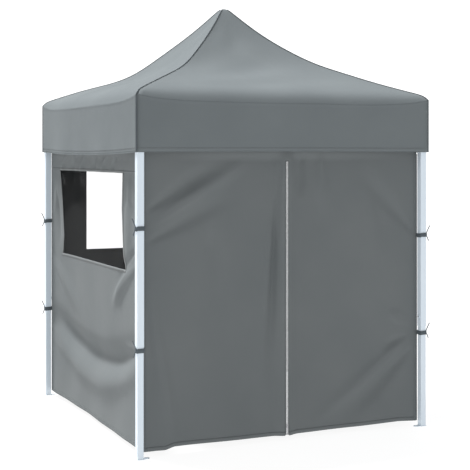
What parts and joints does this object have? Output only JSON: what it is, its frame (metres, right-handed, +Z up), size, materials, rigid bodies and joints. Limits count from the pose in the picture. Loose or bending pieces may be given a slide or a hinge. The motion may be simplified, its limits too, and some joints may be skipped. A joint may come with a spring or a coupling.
{
  "type": "folding gazebo tent with side walls",
  "caption": "Square folding gazebo on telescopic legs: peaked canopy with deep valance, windowed side walls, zipped front wall, scissor truss.",
  "frame": {"origin": "on the ground under the middle of the tent", "axes": "+Z up, +X to the right along the front with the zipped door, -Y out of the front"},
  "size_m": [1.98, 1.98, 2.7282],
  "materials": {
    "canopy_cloth": "matte",
    "wall_cloth": "matte",
    "clear_film": "gloss",
    "zip_white": "matte",
    "zip_metal": "satin",
    "dark_plastic": "matte",
    "pin_steel": "satin",
    "button_plastic": "satin",
    "leg_paint": "satin",
    "truss_paint": "satin"
  },
  "bodies": {
    "hub_and_covers": {"centre_hub": "dark_plastic", "peak_pole": "truss_paint", "peak_cap": "dark_plastic", "canopy": "canopy_cloth", "wall_front": "wall_cloth", "wall_right": "wall_cloth", "wall_back": "wall_cloth", "wall_left": "wall_cloth", "clear_windows": "clear_film", "door_zip": "zip_white"},
    "zip_slider": {"zip_slider": "zip_metal"},
    "zip_pull": {"zip_pull": "zip_metal"},
    "front_strut": {"front_strut": "truss_paint"},
    "front_mid_connector": {"front_mid_connector": "dark_plastic"},
    "front_bar_up_right": {"front_bar_up_right": "truss_paint"},
    "front_bar_down_right": {"front_bar_down_right": "truss_paint"},
    "front_bar_up_left": {"front_bar_up_left": "truss_paint"},
    "front_bar_down_left": {"front_bar_down_left": "truss_paint"},
    "front_right_truss_slider": {"front_right_truss_slider": "dark_plastic"},
    "front_right_lock_pin": {"front_right_lock_pin": "pin_steel"},
    "front_right_inner_leg": {"front_right_inner_leg": "leg_paint"},
    "front_right_height_button": {"front_right_height_button": "button_plastic"},
    "front_right_outer_leg": {"front_right_outer_leg": "leg_paint", "front_right_top_bracket": "dark_plastic"},
    "right_strut": {"right_strut": "truss_paint"},
    "right_mid_connector": {"right_mid_connector": "dark_plastic"},
    "right_bar_up_right": {"right_bar_up_right": "truss_paint"},
    "right_bar_down_right": {"right_bar_down_right": "truss_paint"},
    "right_bar_up_left": {"right_bar_up_left": "truss_paint"},
    "right_bar_down_left": {"right_bar_down_left": "truss_paint"},
    "back_right_truss_slider": {"back_right_truss_slider": "dark_plastic"},
    "back_right_lock_pin": {"back_right_lock_pin": "pin_steel"},
    "back_right_inner_leg": {"back_right_inner_leg": "leg_paint"},
    "back_right_height_button": {"back_right_height_button": "button_plastic"},
    "back_right_outer_leg": {"back_right_outer_leg": "leg_paint", "back_right_top_bracket": "dark_plastic"},
    "back_strut": {"back_strut": "truss_paint"},
    "back_mid_connector": {"back_mid_connector": "dark_plastic"},
    "back_bar_up_right": {"back_bar_up_right": "truss_paint"},
    "back_bar_down_right": {"back_bar_down_right": "truss_paint"},
    "back_bar_up_left": {"back_bar_up_left": "truss_paint"},
    "back_bar_down_left": {"back_bar_down_left": "truss_paint"},
    "back_left_truss_slider": {"back_left_truss_slider": "dark_plastic"},
    "back_left_lock_pin": {"back_left_lock_pin": "pin_steel"},
    "back_left_inner_leg": {"back_left_inner_leg": "leg_paint"},
    "back_left_height_button": {"back_left_height_button": "button_plastic"},
    "back_left_outer_leg": {"back_left_outer_leg": "leg_paint", "back_left_top_bracket": "dark_plastic"},
    "left_strut": {"left_strut": "truss_paint"},
    "left_mid_connector": {"left_mid_connector": "dark_plastic"},
    "left_bar_up_right": {"left_bar_up_right": "truss_paint"},
    "left_bar_down_right": {"left_bar_down_right": "truss_paint"},
    "left_bar_up_left": {"left_bar_up_left": "truss_paint"},
    "left_bar_down_left": {"left_bar_down_left": "truss_paint"},
    "front_left_truss_slider": {"front_left_truss_slider": "dark_plastic"},
    "front_left_lock_pin": {"front_left_lock_pin": "pin_steel"},
    "front_left_inner_leg": {"front_left_inner_leg": "leg_paint"},
    "front_left_height_button": {"front_left_height_button": "button_plastic"},
    "front_left_outer_leg": {"front_left_outer_leg": "leg_paint", "front_left_top_bracket": "dark_plastic"}
  },
  "joints": [
    {"name": "fold", "type": "hinge", "parent": "hub_and_covers", "child": "front_strut", "pos_m": [0, -0.023, 2.045], "axis": [1, 0, 0], "range_deg": [0, 68], "deforming": ["canopy", "wall_front", "wall_right", "wall_back", "wall_left", "clear_windows", "door_zip"]},
    {"name": "front_mid_fold", "type": "hinge", "parent": "front_strut", "child": "front_mid_connector", "pos_m": [0, -0.928, 1.785], "axis": [1, 0, 0], "range_deg": [-68, 0]},
    {"name": "front_up_right_fold", "type": "hinge", "parent": "front_mid_connector", "child": "front_bar_up_right", "pos_m": [0, -0.96, 1.785], "axis": [0, -1, 0], "range_deg": [0, 68]},
    {"name": "front_up_left_fold", "type": "hinge", "parent": "front_mid_connector", "child": "front_bar_up_left", "pos_m": [0, -0.96, 1.785], "axis": [0, 1, 0], "range_deg": [0, 68]},
    {"name": "front_cross_right_fold", "type": "hinge", "parent": "front_bar_up_right", "child": "front_bar_down_right", "pos_m": [0.4525, -0.96, 1.915], "axis": [0, 1, 0], "range_deg": [0, 136]},
    {"name": "front_cross_left_fold", "type": "hinge", "parent": "front_bar_up_left", "child": "front_bar_down_left", "pos_m": [-0.4525, -0.96, 1.915], "axis": [0, -1, 0], "range_deg": [0, 136]},
    {"name": "front_right_leg_fold", "type": "hinge", "parent": "front_bar_up_right", "child": "front_right_outer_leg", "pos_m": [0.905, -0.96, 2.045], "axis": [0, 1, 0], "range_deg": [0, 68]},
    {"name": "front_right_slider_fold", "type": "hinge", "parent": "front_bar_down_right", "child": "front_right_truss_slider", "pos_m": [0.905, -0.96, 1.785], "axis": [0, -1, 0], "range_deg": [0, 68]},
    {"name": "leg_slide_front_right", "type": "slide", "parent": "front_right_outer_leg", "child": "front_right_inner_leg", "axis": [0, 0, 1], "range_m": [0, 0.55]},
    {"name": "lock_pin_pull_front_right", "type": "slide", "parent": "front_right_truss_slider", "child": "front_right_lock_pin", "axis": [-1, 0, 0], "range_m": [0, 0.005], "stiffness_N_per_m": 800},
    {"name": "height_button_press_front_right", "type": "slide", "parent": "front_right_outer_leg", "child": "front_right_height_button", "axis": [1, 0, 0], "range_m": [0, 0.003], "stiffness_N_per_m": 800},
    {"name": "right_strut_fold", "type": "hinge", "parent": "hub_and_covers", "child": "right_strut", "pos_m": [0.023, 0, 2.045], "axis": [0, 1, 0], "range_deg": [0, 68]},
    {"name": "right_mid_fold", "type": "hinge", "parent": "right_strut", "child": "right_mid_connector", "pos_m": [0.928, 0, 1.785], "axis": [0, 1, 0], "range_deg": [-68, 0]},
    {"name": "right_up_right_fold", "type": "hinge", "parent": "right_mid_connector", "child": "right_bar_up_right", "pos_m": [0.96, 0, 1.785], "axis": [1, 0, 0], "range_deg": [0, 68]},
    {"name": "right_up_left_fold", "type": "hinge", "parent": "right_mid_connector", "child": "right_bar_up_left", "pos_m": [0.96, 0, 1.785], "axis": [-1, 0, 0], "range_deg": [0, 68]},
    {"name": "right_cross_right_fold", "type": "hinge", "parent": "right_bar_up_right", "child": "right_bar_down_right", "pos_m": [0.96, 0.4525, 1.915], "axis": [-1, 0, 0], "range_deg": [0, 136]},
    {"name": "right_cross_left_fold", "type": "hinge", "parent": "right_bar_up_left", "child": "right_bar_down_left", "pos_m": [0.96, -0.4525, 1.915], "axis": [1, 0, 0], "range_deg": [0, 136]},
    {"name": "back_right_leg_fold", "type": "hinge", "parent": "right_bar_up_right", "child": "back_right_outer_leg", "pos_m": [0.96, 0.905, 2.045], "axis": [-1, 0, 0], "range_deg": [0, 68]},
    {"name": "back_right_slider_fold", "type": "hinge", "parent": "right_bar_down_right", "child": "back_right_truss_slider", "pos_m": [0.96, 0.905, 1.785], "axis": [1, 0, 0], "range_deg": [0, 68]},
    {"name": "leg_slide_back_right", "type": "slide", "parent": "back_right_outer_leg", "child": "back_right_inner_leg", "axis": [0, 0, 1], "range_m": [0, 0.55]},
    {"name": "lock_pin_pull_back_right", "type": "slide", "parent": "back_right_truss_slider", "child": "back_right_lock_pin", "axis": [0, -1, 0], "range_m": [0, 0.005], "stiffness_N_per_m": 800},
    {"name": "height_button_press_back_right", "type": "slide", "parent": "back_right_outer_leg", "child": "back_right_height_button", "axis": [0, 1, 0], "range_m": [0, 0.003], "stiffness_N_per_m": 800},
    {"name": "back_strut_fold", "type": "hinge", "parent": "hub_and_covers", "child": "back_strut", "pos_m": [0, 0.023, 2.045], "axis": [-1, 0, 0], "range_deg": [0, 68]},
    {"name": "back_mid_fold", "type": "hinge", "parent": "back_strut", "child": "back_mid_connector", "pos_m": [0, 0.928, 1.785], "axis": [-1, 0, 0], "range_deg": [-68, 0]},
    {"name": "back_up_right_fold", "type": "hinge", "parent": "back_mid_connector", "child": "back_bar_up_right", "pos_m": [0, 0.96, 1.785], "axis": [0, 1, 0], "range_deg": [0, 68]},
    {"name": "back_up_left_fold", "type": "hinge", "parent": "back_mid_connector", "child": "back_bar_up_left", "pos_m": [0, 0.96, 1.785], "axis": [0, -1, 0], "range_deg": [0, 68]},
    {"name": "back_cross_right_fold", "type": "hinge", "parent": "back_bar_up_right", "child": "back_bar_down_right", "pos_m": [-0.4525, 0.96, 1.915], "axis": [0, -1, 0], "range_deg": [0, 136]},
    {"name": "back_cross_left_fold", "type": "hinge", "parent": "back_bar_up_left", "child": "back_bar_down_left", "pos_m": [0.4525, 0.96, 1.915], "axis": [0, 1, 0], "range_deg": [0, 136]},
    {"name": "back_left_leg_fold", "type": "hinge", "parent": "back_bar_up_right", "child": "back_left_outer_leg", "pos_m": [-0.905, 0.96, 2.045], "axis": [0, -1, 0], "range_deg": [0, 68]},
    {"name": "back_left_slider_fold", "type": "hinge", "parent": "back_bar_down_right", "child": "back_left_truss_slider", "pos_m": [-0.905, 0.96, 1.785], "axis": [0, 1, 0], "range_deg": [0, 68]},
    {"name": "leg_slide_back_left", "type": "slide", "parent": "back_left_outer_leg", "child": "back_left_inner_leg", "axis": [0, 0, 1], "range_m": [0, 0.55]},
    {"name": "lock_pin_pull_back_left", "type": "slide", "parent": "back_left_truss_slider", "child": "back_left_lock_pin", "axis": [1, 0, 0], "range_m": [0, 0.005], "stiffness_N_per_m": 800},
    {"name": "height_button_press_back_left", "type": "slide", "parent": "back_left_outer_leg", "child": "back_left_height_button", "axis": [-1, 0, 0], "range_m": [0, 0.003], "stiffness_N_per_m": 800},
    {"name": "left_strut_fold", "type": "hinge", "parent": "hub_and_covers", "child": "left_strut", "pos_m": [-0.023, 0, 2.045], "axis": [0, -1, 0], "range_deg": [0, 68]},
    {"name": "left_mid_fold", "type": "hinge", "parent": "left_strut", "child": "left_mid_connector", "pos_m": [-0.928, 0, 1.785], "axis": [0, -1, 0], "range_deg": [-68, 0]},
    {"name": "left_up_right_fold", "type": "hinge", "parent": "left_mid_connector", "child": "left_bar_up_right", "pos_m": [-0.96, 0, 1.785], "axis": [-1, 0, 0], "range_deg": [0, 68]},
    {"name": "left_up_left_fold", "type": "hinge", "parent": "left_mid_connector", "child": "left_bar_up_left", "pos_m": [-0.96, 0, 1.785], "axis": [1, 0, 0], "range_deg": [0, 68]},
    {"name": "left_cross_right_fold", "type": "hinge", "parent": "left_bar_up_right", "child": "left_bar_down_right", "pos_m": [-0.96, -0.4525, 1.915], "axis": [1, 0, 0], "range_deg": [0, 136]},
    {"name": "left_cross_left_fold", "type": "hinge", "parent": "left_bar_up_left", "child": "left_bar_down_left", "pos_m": [-0.96, 0.4525, 1.915], "axis": [-1, 0, 0], "range_deg": [0, 136]},
    {"name": "front_left_leg_fold", "type": "hinge", "parent": "left_bar_up_right", "child": "front_left_outer_leg", "pos_m": [-0.96, -0.905, 2.045], "axis": [1, 0, 0], "range_deg": [0, 68]},
    {"name": "front_left_slider_fold", "type": "hinge", "parent": "left_bar_down_right", "child": "front_left_truss_slider", "pos_m": [-0.96, -0.905, 1.785], "axis": [-1, 0, 0], "range_deg": [0, 68]},
    {"name": "leg_slide_front_left", "type": "slide", "parent": "front_left_outer_leg", "child": "front_left_inner_leg", "axis": [0, 0, 1], "range_m": [0, 0.55]},
    {"name": "lock_pin_pull_front_left", "type": "slide", "parent": "front_left_truss_slider", "child": "front_left_lock_pin", "axis": [0, 1, 0], "range_m": [0, 0.005], "stiffness_N_per_m": 800},
    {"name": "height_button_press_front_left", "type": "slide", "parent": "front_left_outer_leg", "child": "front_left_height_button", "axis": [0, -1, 0], "range_m": [0, 0.003], "stiffness_N_per_m": 800},
    {"name": "door_zip_slide", "type": "slide", "parent": "hub_and_covers", "child": "zip_slider", "axis": [0, 0, 1], "range_m": [0, 1.58]},
    {"name": "door_zip_pull_swing", "type": "hinge", "parent": "zip_slider", "child": "zip_pull", "pos_m": [0, -0.9432, 0.091], "axis": [1, 0, 0], "range_deg": [-150, 0]}
  ],
  "couplings": [
    {"joint": "front_mid_fold", "follows": "fold", "ratio": -1},
    {"joint": "front_up_right_fold", "follows": "fold", "ratio": 1},
    {"joint": "front_up_left_fold", "follows": "fold", "ratio": 1},
    {"joint": "front_cross_right_fold", "follows": "fold", "ratio": 2},
    {"joint": "front_cross_left_fold", "follows": "fold", "ratio": 2},
    {"joint": "front_right_leg_fold", "follows": "fold", "ratio": 1},
    {"joint": "front_right_slider_fold", "follows": "fold", "ratio": 1},
    {"joint": "right_strut_fold", "follows": "fold", "ratio": 1},
    {"joint": "right_mid_fold", "follows": "fold", "ratio": -1},
    {"joint": "right_up_right_fold", "follows": "fold", "ratio": 1},
    {"joint": "right_up_left_fold", "follows": "fold", "ratio": 1},
    {"joint": "right_cross_right_fold", "follows": "fold", "ratio": 2},
    {"joint": "right_cross_left_fold", "follows": "fold", "ratio": 2},
    {"joint": "back_right_leg_fold", "follows": "fold", "ratio": 1},
    {"joint": "back_right_slider_fold", "follows": "fold", "ratio": 1},
    {"joint": "back_strut_fold", "follows": "fold", "ratio": 1},
    {"joint": "back_mid_fold", "follows": "fold", "ratio": -1},
    {"joint": "back_up_right_fold", "follows": "fold", "ratio": 1},
    {"joint": "back_up_left_fold", "follows": "fold", "ratio": 1},
    {"joint": "back_cross_right_fold", "follows": "fold", "ratio": 2},
    {"joint": "back_cross_left_fold", "follows": "fold", "ratio": 2},
    {"joint": "back_left_leg_fold", "follows": "fold", "ratio": 1},
    {"joint": "back_left_slider_fold", "follows": "fold", "ratio": 1},
    {"joint": "left_strut_fold", "follows": "fold", "ratio": 1},
    {"joint": "left_mid_fold", "follows": "fold", "ratio": -1},
    {"joint": "left_up_right_fold", "follows": "fold", "ratio": 1},
    {"joint": "left_up_left_fold", "follows": "fold", "ratio": 1},
    {"joint": "left_cross_right_fold", "follows": "fold", "ratio": 2},
    {"joint": "left_cross_left_fold", "follows": "fold", "ratio": 2},
    {"joint": "front_left_leg_fold", "follows": "fold", "ratio": 1},
    {"joint": "front_left_slider_fold", "follows": "fold", "ratio": 1}
  ]
}
